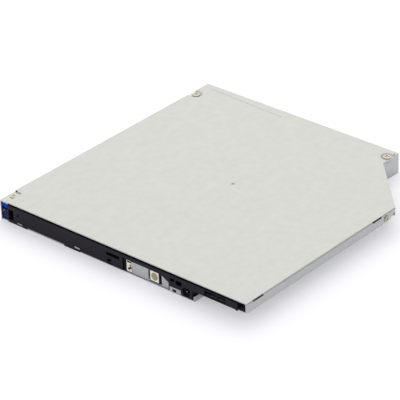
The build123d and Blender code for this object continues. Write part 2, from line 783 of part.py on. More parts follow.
def front_led():
    """Pale moulded lamp holder at the window's left end, with a slot and a stepped opening."""
    u0, u1, z0, z1 = switch_window
    lamp = block(u0 + 0.3, u0 + lamp_right, lamp_front, front_wall + 0.05, z0 + 0.5, z1 - 0.15)
    for left, right, low, high in lamp_cuts:
        lamp -= block(u0 + left, u0 + right, 0, front_wall + 1, z0 + low, z0 + high)
    return lamp


def traverse_plan():
    """The traverse's outline in its own frame."""
    return [
        (-chassis_back, -chassis_half),
        (62.0, -chassis_half),
        (chassis_front, -12.5),
        (chassis_front + ear, -2.5),
        (chassis_front + ear, 6.5),
        (chassis_front, 16.5),
        (66.0, chassis_half),
        (-chassis_back, chassis_half),
    ]


def traverse_way(half, margin):
    """The opening for the rotor and for the pickup's raised part."""
    way = block(0, lens_in + lens_travel + carriage_half_length + margin, -half, half, 0, height)
    return way + post(0, 0, rotor_radius + 1.2, 0, height)


def traverse_chassis():
    """Steel frame, open below, that carries the spindle, the rods and the feed."""
    solid = plate(traverse_plan(), chassis_low, chassis_high)
    face = make_face(Polyline(*traverse_plan(), close=True))
    inner = offset(face, -chassis_wall)
    solid -= Pos(0, 0, chassis_low - 1) * extrude(inner, chassis_high - chassis_sheet - chassis_low + 1)
    solid -= traverse_way(slot_half, 0.6)
    motor_hole = block(feed_motor_start - 0.4, feed_motor_end + 0.6, screw_t - 2.4, screw_t + 2.4, 4, 6)
    solid -= motor_hole
    for s, t in damper_places:
        solid -= post(s, t, boss_pin_radius + 0.35, 0, height)
    return on_traverse(solid)


def traverse_cover():
    """Thin dark sheet on the traverse, seen through the tray's floor."""
    sheet = plate(traverse_plan(), chassis_high, chassis_high + 0.2)
    sheet -= traverse_way(slot_half - 0.7, 0.2)
    half = boss_half + 0.4
    for s, t in damper_places:
        sheet -= block(s - half, s + half, t - half, t + half, 5, 6)
    sheet -= block(feed_motor_start - 1, feed_motor_end + 1, screw_t - 2.6, screw_t + 2.6, 5, 6)
    return on_traverse(sheet)


def dampers():
    """Three rubber rings round the tray's pins, that the traverse rests on."""
    high = chassis_high - chassis_sheet
    rings = [ring(s, t, damper_radius, boss_pin_radius + 0.1, damper_low, high) for s, t in damper_places]
    return [on_traverse(damper) for damper in rings]


def damper_screws():
    """Three screw heads that hold the rubber rings on the tray's pins."""
    high = damper_low - fit_gap
    return [on_traverse(post(s, t, damper_head_radius, high - 0.6, high)) for s, t in damper_places]


def spindle_base():
    """Pressed plate that the spindle motor stands on."""
    plan = [(-chassis_back + 0.2, -chassis_half + 0.2), (12.5, -chassis_half + 0.2), (12.5, 14.8),
            (-chassis_back + 0.2, 14.8)]
    base = plate(plan, chassis_low - 0.5, chassis_low)
    base -= post(0, 0, shaft_radius + 0.3, 0, chassis_low - 0.3)
    return on_traverse(base)


def spindle_bearing():
    """Plain bearing of the spindle, with a foot on the base that carries the stator."""
    inner, outer = shaft_radius + fit_gap, bearing_radius
    profile = [(inner, chassis_low), (outer + 1, chassis_low), (outer + 1, stator_low), (outer, stator_low),
               (outer, rotor_top - 0.6), (inner, rotor_top - 0.6)]
    face = make_face(Polyline(*[(r, 0, z) for r, z in profile], close=True))
    return on_traverse(revolve(face, Axis.Z))


def stator_core():
    """Sheet stack of the spindle motor with T-shaped teeth."""
    core = ring(0, 0, stator_hub, bearing_radius + fit_gap, stator_low, stator_high)
    shoe = block(stator_radius - 0.9, stator_radius - 0.1, -2.2, 2.2, stator_low, stator_high)
    for i in range(stator_teeth):
        tooth = block(stator_hub - 0.4, stator_radius - 0.6, -0.7, 0.7, stator_low, stator_high)
        core += Rot(0, 0, 360 / stator_teeth * i) * (tooth + shoe)
    return on_traverse(core)


def stator_coils():
    """One copper coil round each tooth."""
    coils = []
    for i in range(stator_teeth):
        coil = block(5.1, 8.4, -1.45, 1.45, stator_low - 0.55, stator_high + 0.55)
        coil -= block(5, 9, -0.7, 0.7, stator_low, stator_high)
        coils.append(on_traverse(Rot(0, 0, 360 / stator_teeth * i) * coil))
    return coils


def rotor_bell():
    """Drawn steel bell of the spindle motor."""
    r0, r1 = shaft_radius, rotor_radius
    z0, z1 = rotor_low, rotor_top
    inner = z1 - 0.5
    profile = [(r0, inner), (r1 - rotor_wall, inner), (r1 - rotor_wall, z0), (r1, z0), (r1, z1), (r0, z1)]
    face = make_face(Polyline(*[(r, 0, z) for r, z in profile], close=True))
    return on_traverse(revolve(face, Axis.Z))


def rotor_magnet():
    """Ring of flat magnets inside the bell."""
    outer = rotor_radius - rotor_wall
    low, high = rotor_low + 0.1, rotor_top - 0.5
    face = RegularPolygon(outer, magnet_sides) - RegularPolygon(outer - magnet_ring, magnet_sides)
    return on_traverse(Pos(0, 0, low) * extrude(face, high - low))


def spindle_shaft():
    """Steel shaft of the spindle."""
    return on_traverse(post(0, 0, shaft_radius, chassis_low + 0.1, disc_seat - 0.3))


def turntable():
    """Turntable with the hub that centres the disc and its three spring tongues."""
    seat = disc_seat - 0.2
    top = disc_seat + hub_rise
    profile = [(shaft_radius, rotor_top), (6.0, rotor_top), (6.0, seat - 0.75),
               (turntable_radius, seat - 0.75), (turntable_radius, seat), (hub_radius, seat),
               (hub_radius, top - 0.45), (hub_radius - 0.45, top), (0, top), (0, disc_seat - 0.3),
               (shaft_radius, disc_seat - 0.3)]
    face = make_face(Polyline(*[(r, 0, z) for r, z in profile], close=True))
    hub = revolve(face, Axis.Z)
    for i in range(3):
        turn = Rot(0, 0, 120 * i)
        for side in (-1, 1):
            hub -= turn * block(3.6, 9, side * 1.35 - 0.15, side * 1.35 + 0.15, disc_seat + 0.15, height)
        nose = block(hub_radius - 0.8, hub_radius + 0.25, -1.1, 1.1, top - 0.55, top - 0.15)
        hub += turn * nose
    return on_traverse(hub)


def turntable_ring():
    """Rubber ring that the disc rests on."""
    return on_traverse(ring(0, 0, turntable_radius - 0.1, 12.4, disc_seat - 0.2, disc_seat))


def guide_rod(t):
    """One polished rod that the carriage runs on."""
    return on_traverse(rod(rod_start, rod_end, t, rod_height, rod_radius))


def rod_clips():
    """Four moulded blocks under the chassis that the rods' ends butt against."""
    clips = []
    under = chassis_high - chassis_sheet
    for t in (-rod_half, rod_half):
        for s in (rod_start - fit_gap - clip_length, rod_end + fit_gap):
            clip = block(s, s + clip_length, t - 1.5, t + 1.5, chassis_low + 0.05, under)
            clips.append(on_traverse(clip))
    return clips


def feed_motor():
    """Small stepping motor of the feed, flattened above and below."""
    can = rod(feed_motor_start, feed_motor_end, screw_t, feed_height, feed_motor_radius)
    flat = block(feed_motor_start - 1, feed_motor_end + 1, screw_t - 3, screw_t + 3,
                 feed_height - 1.95, feed_height + 1.95)
    can &= flat
    can -= rod(feed_motor_end - 1.5, feed_motor_end + 1, screw_t, feed_height, feed_screw_radius + 0.05)
    return on_traverse(can)


def lead_screw():
    """Feed screw on the motor's shaft; its fine thread is left off."""
    return on_traverse(rod(feed_motor_end - 1.4, feed_screw_end, screw_t, feed_height, feed_screw_radius))


def feed_bracket():
    """Folded bracket that carries the feed motor and the screw's far bearing."""
    end = feed_screw_end + 0.5
    strip = block(feed_motor_end, end, screw_t - 1.6, screw_t + 1.6, 1.3, 1.6)
    strip += block(feed_motor_end, feed_motor_end + 0.4, screw_t - 1.6, screw_t + 1.6, 1.3, 4.5)
    strip += block(end - 1.0, end, screw_t - 1.6, screw_t + 1.6, 1.3, 4.5)
    strip -= rod(feed_motor_end - 1, feed_screw_end + 0.1, screw_t, feed_height, feed_screw_radius + 0.05)
    return on_traverse(strip)


def at_lens(part):
    """Places a piece drawn about the lens's axis at the parked pickup."""
    return on_traverse(Pos(lens_in, 0, 0) * part)


def pickup_carriage():
    """Die-cast carriage: two rod bearings, a raised frame and a well for the lens drive."""
    a, b = carriage_half_length, carriage_half_width
    body = pad(-a, a, -b, b, carriage_low, carriage_high, 2.0)
    body += pad(-6.4, 6.4, -9.8, 9.8, carriage_high - 0.5, 5.75, 1.0)
    body -= block(-5.3, 5.3, -7.5, 7.5, 2.4, height)
    for side in (-1, 1):
        body -= rod(-a - 1, a + 1, side * rod_half, rod_height, rod_radius + 0.04)
    for side in (-1, 1):
        low, high = sorted((side * (b + 1), side * (b - 0.9)))
        body -= block(-4.2, 4.2, low, high, 0, height)
    return at_lens(body)


def pickup_cover():
    """Thin steel sheet under the carriage."""
    sheet = block(-7.0, 7.0, -10.2, 10.2, carriage_low - 0.2, carriage_low)
    return at_lens(sheet)


def lens_yoke():
    """Yoke plate with two magnets on either side of the lens holder."""
    yoke = block(-5.1, 5.1, -4.6, 4.6, 2.4, 2.8)
    for side in (-1, 1):
        low, high = sorted((side * 5.1, side * 4.0))
        yoke += block(low, high, -3.6, 3.6, 2.8, 5.5)
    return at_lens(yoke)


def lens_holder():
    """Moulded holder of the lens, free to move up and down."""
    holder = pad(-3.6, 3.6, -4.4, 4.4, 3.5, 5.5, 0.8)
    holder += post(0, 0, lens_radius + 0.7, 5.5, 5.8)
    holder -= post(0, 0, lens_radius, 5.2, height)
    holder -= post(0, 0, lens_radius - 0.5, 3, height)
    return at_lens(holder)


def objective_lens():
    """Lens with a flat rim and a domed middle in two slopes."""
    rim, dome = lens_radius - 0.02, lens_radius - 0.35
    profile = [(0, 5.2), (rim, 5.2), (rim, 5.6), (dome, 5.6), (dome / 2, 6.02), (0, 6.15)]
    face = make_face(Polyline(*[(r, 0, z) for r, z in profile], close=True))
    return at_lens(revolve(face, Axis.Z))


def screw_follower():
    """Moulded half nut on the carriage, round the feed screw."""
    arm = block(-2.4, 2.4, carriage_half_width - 0.9, screw_t + 1.5, 2.0, 4.25)
    arm -= rod(-4, 4, screw_t, feed_height, feed_screw_radius + 0.05)
    arm -= block(-4, 4, screw_t - 0.6, screw_t + 3, 1.9, feed_height)
    return at_lens(arm)


def lever_pivot_place():
    """The lock lever's pivot, in u and v."""
    return (body_width - 6.4, 15.0)


def lock_lever():
    """Flat latch lever: hub, an arm to the front with its hook at the side window, and a tail."""
    u, v = lever_pivot_place()
    low, high = lever_low, lever_low + lever_sheet
    tip = body_width - case_sheet - latch_clear
    hook = latch_window[0] + 0.3
    arm = plate([(u - 1.2, v), (u + 1.3, v), (u + 2.9, hook + 2.6), (tip - 0.4, hook + 2.0),
                 (tip, hook), (u + 0.8, hook), (u - 0.6, hook + 1.0)], low, high)
    tail = pad(u - 0.9, u + 0.9, v + 1.0, v + plunger_arm + 1.3, low, high, 0.4)
    lever = ring(u, v, 2.2, lever_pin_radius + 0.05, low, high + 0.8)
    return lever + (arm + tail - post(u, v, 2.0, 0, height))


def lever_pin():
    """Pivot pin of the lock lever, hanging from the tray's floor."""
    u, v = lever_pivot_place()
    pin = post(u, v, lever_pin_radius, lever_low - 0.3, floor_low)
    return pin + post(u, v, 1.7, lever_low - 0.5, lever_low - 0.1)


def eject_solenoid():
    """Coil block of the latch's solenoid, hung from the tray's floor by its frame."""
    u, v = lever_pivot_place()
    v += plunger_arm
    coil = block(u - 16.0, u - 6.4, v - 2.4, v + 2.4, 1.15, 4.6)
    coil += block(u - 16.4, u - 6.0, v - 2.4, v + 2.4, 4.6, floor_low)
    return coil - rod(u - 12.3, u, v, plunger_height, plunger_radius + 0.05)


def solenoid_plunger():
    """Plunger of the solenoid, its tip beside the lever's tail."""
    u, v = lever_pivot_place()
    return rod(u - 11.5, u - 0.9 - 0.15, v + plunger_arm, plunger_height, plunger_radius)


def main_board():
    """Printed board at the rear of the case, on standoffs."""
    z0 = board_height
    return block(board_left, board_right, board_front, depth - 1.4, z0, z0 + board_thickness)


def board_places():
    """Places of the two screws that hold the main board."""
    return ((board_left + 2.8, board_front + 3.0), (board_right - 3.0, board_front + 3.0))


def board_posts():
    """Square standoffs under the main board."""
    half = 2.0
    return [block(u - half, u + half, v - half, v + half, case_sheet, board_height) for u, v in board_places()]


def board_screws():
    """Heads of the main board's two screws."""
    top = board_height + board_thickness
    return [post(u, v, 1.9, top, top + 0.5) for u, v in board_places()]


def board_chips():
    """The larger packages on the main board."""
    top = board_height + board_thickness
    chips = []
    for along, back, a, b, h in chip_places:
        u, v = board_left + along, board_front + back
        chips.append(block(u - a / 2, u + a / 2, v - b / 2, v + b / 2, top, top + h))
    return chips


def drive_connector():
    """Moulded plug of the drive: a signal tongue and a power tongue in an open mouth."""
    u0, u1 = connector_left, connector_left + connector_width
    z0 = board_height + board_thickness
    rear = depth - 0.15
    body = block(u0, u1, rear - 6.4, rear, z0, connector_high)
    body -= block(u0 + 0.8, u1 - 0.8, rear - 4.6, rear + 1, z0 + 0.7, connector_high - 0.7)
    middle = (z0 + connector_high) / 2
    for a, b in ((u0 + 2.0, u0 + 12.6), (u0 + 15.2, u0 + 23.6)):
        body += block(a, b, rear - 5.0, rear - 0.4, middle - 0.5, middle + 0.5)
    return body


def connector_contacts():
    """Gold strips on the two tongues: seven for signals and six for power."""
    middle = (board_height + board_thickness + connector_high) / 2
    rear = depth - 0.15
    strips = []
    first = connector_left + 2.0 + 1.5
    power = connector_left + 15.2 + 1.7
    places = [first + 1.27 * i for i in range(7)] + [power + 1.0 * i for i in range(6)]
    for u in places:
        strips.append(block(u - 0.25, u + 0.25, rear - 4.6, rear - 0.7, middle + 0.5, middle + 0.6))
    return strips


def case_flex():
    """Flat ribbon on the case floor, from the main board towards the front."""
    low, top = case_sheet, board_height + board_thickness
    bend = board_front - 1.0
    run = block(flex_left, flex_right, flex_front, bend, low, low + flex_sheet)
    run += block(flex_left, flex_right, bend, bend + flex_sheet, low, top)
    return run + block(flex_left, flex_right, bend, board_front + 0.6, top, top + flex_sheet)


def tray_flex():
    """Flat ribbon under the tray's bottom sheet, which the tray takes with it."""
    return block(flex_left, flex_right, flex_front, bay_depth - 10.0, tray_low - flex_sheet, tray_low)


def kick_out_housing():
    """Moulded barrel on the case floor for the kick-out pusher."""
    left, right = pusher_u - housing_half, pusher_u + housing_half
    housing = block(left, right, housing_front, housing_rear, case_sheet, housing_top)
    return housing - arrow(pusher_u, housing_front - 1, housing_rear - housing_end, pusher_z, pusher_radius + 0.05)


def kick_out_pusher():
    """Sprung pusher that starts the tray on its way."""
    return arrow(pusher_u, bay_depth + 0.05, pusher_end, pusher_z, pusher_radius)


pieces = {
    "bottom_case": bottom_case,
    "top_cover": top_cover,
    "cover_screws": cover_screws,
    "left_rail_guide": left_rail_guide,
    "right_rail_guide": right_rail_guide,
    "corner_stop": corner_stop,
    "left_slide_rail": left_slide_rail,
    "right_slide_rail": right_slide_rail,
    "tray": tray,
    "tray_end_cap": tray_end_cap,
    "tray_bottom_cover": tray_bottom_cover,
    "switch_board": switch_board,
    "switch_shield": switch_shield,
    "switch_body": switch_body,
    "eject_button": eject_button,
    "front_led": front_led,
    "traverse_chassis": traverse_chassis,
    "traverse_cover": traverse_cover,
    "dampers": dampers,
    "damper_screws": damper_screws,
    "spindle_base": spindle_base,
    "spindle_bearing": spindle_bearing,
    "stator_core": stator_core,
    "stator_coils": stator_coils,
    "rotor_bell": rotor_bell,
    "rotor_magnet": rotor_magnet,
    "spindle_shaft": spindle_shaft,
    "turntable": turntable,
    "turntable_ring": turntable_ring,
    "guide_rod_left": lambda: guide_rod(-rod_half),
    "guide_rod_right": lambda: guide_rod(rod_half),
    "rod_clips": rod_clips,
    "feed_motor": feed_motor,
    "lead_screw": lead_screw,
    "feed_bracket": feed_bracket,
    "pickup_carriage": pickup_carriage,
    "pickup_cover": pickup_cover,
    "lens_yoke": lens_yoke,
    "lens_holder": lens_holder,
    "objective_lens": objective_lens,
    "screw_follower": screw_follower,
    "lock_lever": lock_lever,
    "lever_pin": lever_pin,
    "eject_solenoid": eject_solenoid,
    "solenoid_plunger": solenoid_plunger,
    "main_board": main_board,
    "board_posts": board_posts,
    "board_screws": board_screws,
    "board_chips": board_chips,
    "drive_connector": drive_connector,
    "connector_contacts": connector_contacts,
    "case_flex": case_flex,
    "tray_flex": tray_flex,
    "kick_out_housing": kick_out_housing,
    "kick_out_pusher": kick_out_pusher,
}


def write(name, made):
    """Moves a piece to the row's frame and writes it."""
    place = Pos(-width / 2, -depth / 2, 0)
    solids = made if isinstance(made, list) else [made]
    moved = [place * solid for solid in solids]
    shape = moved[0] if len(moved) == 1 else Compound(children=moved)
    export_step(shape, f"parts/{name}.step")


def main():
    os.makedirs("parts", exist_ok=True)
    for name, make in pieces.items():
        write(name, make())


main()
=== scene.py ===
"""Looks of a slim internal disc writer: its camera, light, finishes and finest pieces.

The scene is in metres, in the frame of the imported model: +X to the wing's side, +Y to the rear
and +Z up, with the origin under the middle of the drive. Places and sizes of pieces are written
in millimetres from the front left lower corner, as u to the right, v to the rear and z up.
"""
import json
import math

import bmesh
import bpy
import numpy as np
from mathutils import Matrix, Vector


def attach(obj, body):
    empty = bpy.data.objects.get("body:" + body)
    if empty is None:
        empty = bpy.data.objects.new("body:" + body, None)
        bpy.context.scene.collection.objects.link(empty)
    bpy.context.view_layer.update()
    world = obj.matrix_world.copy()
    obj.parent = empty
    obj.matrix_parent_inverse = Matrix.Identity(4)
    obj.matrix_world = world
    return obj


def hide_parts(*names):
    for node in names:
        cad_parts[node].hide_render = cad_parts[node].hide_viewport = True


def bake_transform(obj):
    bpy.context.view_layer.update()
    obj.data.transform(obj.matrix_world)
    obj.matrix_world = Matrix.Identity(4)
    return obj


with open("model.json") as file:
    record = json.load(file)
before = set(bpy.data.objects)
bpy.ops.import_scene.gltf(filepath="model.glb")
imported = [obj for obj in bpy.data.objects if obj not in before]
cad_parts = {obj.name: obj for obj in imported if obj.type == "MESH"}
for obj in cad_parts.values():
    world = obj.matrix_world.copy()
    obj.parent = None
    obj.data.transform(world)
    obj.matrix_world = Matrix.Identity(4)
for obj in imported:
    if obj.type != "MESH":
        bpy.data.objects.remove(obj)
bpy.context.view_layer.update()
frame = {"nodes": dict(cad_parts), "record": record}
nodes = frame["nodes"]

MM = 0.001
FULL_TURN = 2 * math.pi

# The photograph's camera, in pixels and metres
PHOTO_WIDTH = 400
FOCAL_PIXELS = 2523.8
SENSOR = 36.0                   # in millimetres
AIM = Vector((-0.00055, -0.01516, 0.009))
DISTANCE = 0.9931
CLIP_START = 0.05
CLIP_END = 10.0
AZIMUTH = math.radians(42.095)
ELEVATION = math.radians(29.616)
ROLL = math.radians(-2.204)

# The studio, in metres and watts
SURROUND_COLOUR = "f6f5ff"
SURROUND_STRENGTH = 0.7
OVERHEAD = ((-0.75, 0.85, 0.95), 1.5, 7.6, "ffffea")    # place, size, power and colour
FILL = ((0.3, -1.3, 0.9), 0.9, 1.0, "f6f4ff")
PAPER_COLOUR = "fafafa"
PAPER_GLOW = 0.28
FLOOR_HALF = 4.0
FLOOR_OPENING = (0.5, 101.5, 1.4, 125.6)                # two u and two v, in millimetres

# Values that patterns and normals run between
NOISE_LOW = 0.3                 # a noise pattern hardly leaves this range
NOISE_HIGH = 0.7
FACE_MATCH = 0.995              # the dot product of both normals where an edge starts and ends
EDGE_MATCH = 0.8

# The Mix node's colour sockets, by number because its other sockets share their names
MIX_FROM = 6
MIX_TO = 7
MIX_RESULT = 2

# The frame's places that pieces refer to, in millimetres
CORNER = (64.0, 63.05)          # the origin's u and v
DISC = (65.4, 65.6)             # the spindle's u and v
FEED_ANGLE = math.radians(225.0)
LENS_IN = 22.0                  # from the spindle to the lens, along the feed

# Cover screws
SCREWS = ((2.45, 5.3, 1.5), (2.4, 115.6, 1.75), (100.0, 121.0, 1.75))   # u, v and head's radius
SCREW_SEAT = 8.6
SCREW_TALL = 0.36               # the head's height
SCREW_REACH = 1.3               # the shank's length
SIDE_SCREW = (127.5, 84.6, 6.5)
SIDE_RADIUS = 1.3
SIDE_TALL = 0.45
SIDE_REACH = 0.9
SHANK_RADIUS = 0.98
RIM_SHARE = 0.55                # the rim's bend, as a share of the head's height
RECESS_SHARE = 0.78             # the recess's depth, as a share of it
ARM_SHARE = 0.17                # half an arm's width, as a share of the head's radius
CROSS_SHARE = 0.66              # the arms' reach, as a share of it
ARM_SLOPE = 0.06                # widths of the slopes at an arm's side and end
END_SLOPE = 0.12

# Feed screw
FEED_LINE = (18.2, 3.2)         # its place across the feed, and its height
FEED_ENDS = (4.6, 64.8)
FEED_RADIUS = 0.9
FEED_LEAD = 3.0
FEED_PLAIN = (2.6, 1.6)         # the smooth lengths at its start and end
THREAD_DEPTH = 0.24
THREAD_FADE = 0.8               # the length over which the thread runs out

# Manual release's pin, by its u and z
RELEASE = (97.7, 2.65)
RELEASE_RADIUS = 0.34
RELEASE_TIP = 0.6
RELEASE_END = 6.4

# Small blocks in the front window, each as two u and two z, with the bend that squares them. The
# dark blocks in the lamp's openings and the dark bars round the switch are painted shade
LAMP_SHADE_BLOCKS = ((67.65, 69.88, 4.75, 5.4), (68.0, 69.0, 1.8, 2.5), (68.85, 69.85, 2.15, 3.2))
LAMP_SHADE_FRONT = 0.36
LAMP_SHADE_REAR = 0.8
LAMP_SHADE_BEND = 10.0
SWITCH = (79.75, 84.05, 1.45, 5.75)
# the dark bars round the switch are painted shade for the gap between the switch and the shield
SWITCH_SHADE_FRONT = 0.13
SWITCH_SHADE_REAR = 0.7
SWITCH_SHADE_WIDTHS = (0.33, 0.5, 0.45)  # widths of the bars at the switch's left, right and lower edge
SWITCH_SHADE_BEND = 12.0
FOLD = (78.55, 78.9, 1.2, 5.6)
FOLD_FRONT = 0.08
FOLD_REAR = 0.4
FOLD_BEND = 6.0

# Lip under the front, by its two u and by its v and z
LIP = (14.7, 34.4)
LIP_PLACE = (0.18, 0.5)
LIP_RADIUS = 0.17
LIP_SIDES = 14

# Pockets of the cover: the middle of the arc in u and v, its radius, closed side and last angle,
# the straight runs before and after it, and the width of the slope
POCKETS = (
    (2.4, 115.6, 2.89, 1, -math.pi / 2, 2.38, 2.38, 1.0),
    (100.0, 121.0, 2.89, -1, -math.pi / 2, 1.98, 1.98, 1.0),
    (3.2, 7.9, 0.79, 1, 0.0, 1.9, 0.7, 0.7),
)
POCKET_HEIGHTS = (8.6, 8.99)

# Wire clip on the end cap
CLIP_CENTRE = (2.2, 0.4, 3.85)
CLIP_REACH = 0.95
CLIP_RADIUS = 0.13

# Focus coil round the lens holder
HOLDER = (3.62, 4.42)           # the holder's half sizes, with a hair's gap to the coil
COIL_HEIGHTS = (3.75, 4.85)
COIL_TURNS = 5
COIL_THICK = 0.2
COIL_RIDGE = 0.03               # the height of a turn's ridge
COIL_CORNER = 0.2               # the power that squares the way round

# Suspension wires, from the holder's side to the carriage's wall
WIRE_SIDE = 3.78
WIRE_RUN = (3.4, 7.45)
WIRE_HEIGHTS = (4.0, 5.1)
WIRE_RADIUS = 0.06
WIRE_MIDDLE = 4.5

# Joining and smoothing of the meshes
SAME_POINT = 0.001 * MM
SHARP_ANGLE = math.radians(32)


def linear(colour):
    """An sRGB hex colour as linear red, green, blue and alpha, by the sRGB transfer curve."""
    parts = np.array([int(colour[i:i + 2], 16) for i in (0, 2, 4)]) / 255
    curve = np.where(parts <= 0.04045, parts / 12.92, ((parts + 0.055) / 1.055) ** 2.4)
    return (*curve.tolist(), 1.0)


def add(tree, kind, settings=None, values=None, links=None):
    """Adds one node to a tree with its settings, its sockets' values and its links."""
    node = tree.nodes.new("ShaderNode" + kind)
    for name, value in (settings or {}).items():
        setattr(node, name, value)
    for name, value in (values or {}).items():
        node.inputs[name].default_value = value
    for name, source in (links or {}).items():
        tree.links.new(source, node.inputs[name])
    return node


def finish_of(name, **values):
    """A new material with its Principled shader set; returns the material, tree and shader."""
    material = bpy.data.materials.new(name)
    material.use_nodes = True
    tree = material.node_tree
    shader = tree.nodes["Principled BSDF"]
    for socket, value in values.items():
        shader.inputs[socket.replace("_", " ")].default_value = value
    return material, tree, shader


def cloud(tree, size, stretch=(1, 1, 1), detail=2.0):
    """A cloudy pattern with grains about size metres across, drawn out by stretch."""
    place = add(tree, "TexCoord").outputs["Object"]
    laid = add(tree, "Mapping", values={"Scale": tuple(1 / s for s in stretch)},
               links={"Vector": place})
    return add(tree, "TexNoise", values={"Scale": 1 / size, "Detail": detail, "Roughness": 0.55},
               links={"Vector": laid.outputs[0]}).outputs["Fac"]


def tint(tree, shader, pattern, dark, light, start=NOISE_LOW, end=NOISE_HIGH):
    """Colours the surface between two hex colours by a pattern; returns the colour's socket."""
    spread = add(tree, "MapRange", values={"From Min": start, "From Max": end},
                 links={"Value": pattern})
    mix = add(tree, "Mix", {"data_type": "RGBA"}, {MIX_FROM: linear(dark), MIX_TO: linear(light)},
              {"Factor": spread.outputs[0]})
    tree.links.new(mix.outputs[MIX_RESULT], shader.inputs["Base Color"])
    return mix.outputs[MIX_RESULT]


def polish(tree, shader, pattern, smooth, rough):
    """Varies the roughness between two values by a pattern."""
    limits = {"From Min": NOISE_LOW, "From Max": NOISE_HIGH, "To Min": smooth, "To Max": rough}
    spread = add(tree, "MapRange", values=limits, links={"Value": pattern})
    tree.links.new(spread.outputs[0], shader.inputs["Roughness"])


def relief(tree, shader, pattern, depth, edge, strength=0.6):
    """Rounds the edges by that radius and raises the pattern by that depth; returns the rounding."""
    rounded = add(tree, "Bevel", {"samples": 4}, {"Radius": edge}).outputs[0]
    raised = add(tree, "Bump", values={"Strength": strength, "Distance": depth},
                 links={"Height": pattern, "Normal": rounded})
    tree.links.new(raised.outputs[0], shader.inputs["Normal"])
    return rounded


def bare_edges(tree, shader, colour, rounded, edge_colour):
    """Shows another colour where the rounded normal leaves the face's own, as on a sheared edge."""
    flat = add(tree, "NewGeometry").outputs["Normal"]
    turn = add(tree, "VectorMath", {"operation": "DOT_PRODUCT"}, links={0: flat, 1: rounded})
    wear = add(tree, "MapRange", values={"From Min": FACE_MATCH, "From Max": EDGE_MATCH},
               links={"Value": turn.outputs["Value"]})
    mix = add(tree, "Mix", {"data_type": "RGBA"}, {MIX_TO: linear(edge_colour)},
              {"Factor": wear.outputs[0], MIX_FROM: colour})
    tree.links.new(mix.outputs[MIX_RESULT], shader.inputs["Base Color"])


def moulding(name, dark, light, rough, texture=0.2, gloss=0.4):
    """Injection moulding: an even colour and the fine spark-eroded texture of its mould.

    The texture's size is in millimetres, several times that of real grains, so that they show."""
    material, tree, shader = finish_of(name, Specular_IOR_Level=gloss)
    pits = cloud(tree, texture * MM)
    tint(tree, shader, cloud(tree, 6 * MM, detail=3.0), dark, light)
    polish(tree, shader, pits, rough - 0.06, rough + 0.06)
    relief(tree, shader, pits, 0.008 * MM, 0.1 * MM, 0.7)
    return material


def bright_metal(name, dark, light, rough, size=0.12, edge=0.07):
    """Machined or drawn bright metal: scratches drawn out along z and slightly broken edges.

    Their size and the edge's radius are in millimetres. Real scratches are finer; these are
    drawn coarse enough to show."""
    material, tree, shader = finish_of(name, Metallic=1.0)
    scratches = cloud(tree, size * MM, (1, 1, 12))
    tint(tree, shader, scratches, dark, light)
    polish(tree, shader, scratches, rough - 0.05, rough + 0.07)
    relief(tree, shader, scratches, 0.002 * MM, edge * MM)
    return material


def zinc_steel():
    """Zinc-plated cold-rolled steel: pale and satin, faintly cloudy, with bright sheared edges.

    The plating's clouds are 3.2 mm across. The rolling lines run along y and are 0.35 mm wide,
    drawn coarser than real ones so that they show, and the sheet's own grain is 0.45 mm."""
    material, tree, shader = finish_of("zinc_plated_steel", Metallic=1.0)
    colour = tint(tree, shader, cloud(tree, 3.2 * MM), "b9bab9", "bcbdbc", 0.35, 0.65)
    polish(tree, shader, cloud(tree, 0.35 * MM, (1, 30, 1)), 0.43, 0.49)
    rounded = relief(tree, shader, cloud(tree, 0.45 * MM), 0.004 * MM, 0.12 * MM)
    bare_edges(tree, shader, colour, rounded, "eceeec")
    return material


def bright_steel():
    """Drawn spring steel of the rails and rods: darker and smoother than the plated sheet."""
    return bright_metal("bright_drawn_steel", "9a9ba0", "b4b5b8", 0.26)


def nickel_screw():
    """Nickel-plated screws with a warm cast: satin heads, which stand out from the cover."""
    return bright_metal("nickel_plated_screw", "b0ab98", "cfcbb9", 0.36, edge=0.12)


def black_abs():
    """Black ABS blend of the tray: near black with a hint of violet and a satin sheen."""
    return moulding("black_abs", "1a171d", "1e1b21", 0.5, texture=0.22, gloss=0.14)


def blue_pom():
    """Blue acetal of the corner stop: saturated and waxy."""
    return moulding("blue_acetal", "002c94", "003ab4", 0.38, gloss=0.1)


def blue_pom_painted_shade():
    """Blue acetal of the tray's end cap, darkened to near black as painted shade, since the cap lies
    out of the light.
    """
    # a darker copy of the corner stop's blue: painted shade
    return moulding("blue_acetal_painted_shade", "08173e", "0b1d4c", 0.42, gloss=0.12)


def grey_pom():
    """Dark grey acetal of the rail guides, smooth from the mould."""
    return moulding("grey_acetal", "232327", "2b2b2f", 0.4, gloss=0.35)


def cream_nylon():
    """Undyed nylon of the switch and lamp: cream, a little translucent."""
    material = moulding("cream_nylon", "eeead4", "f6f2de", 0.42, gloss=0.45)
    sockets = material.node_tree.nodes["Principled BSDF"].inputs
    sockets["Subsurface Weight"].default_value = 0.15
    sockets["Subsurface Scale"].default_value = 0.4 * MM
    return material


def olive_button():
    """Olive-beige moulded push button, its face slightly worn smooth."""
    return moulding("olive_beige_button", "9c9370", "a59c79", 0.38)


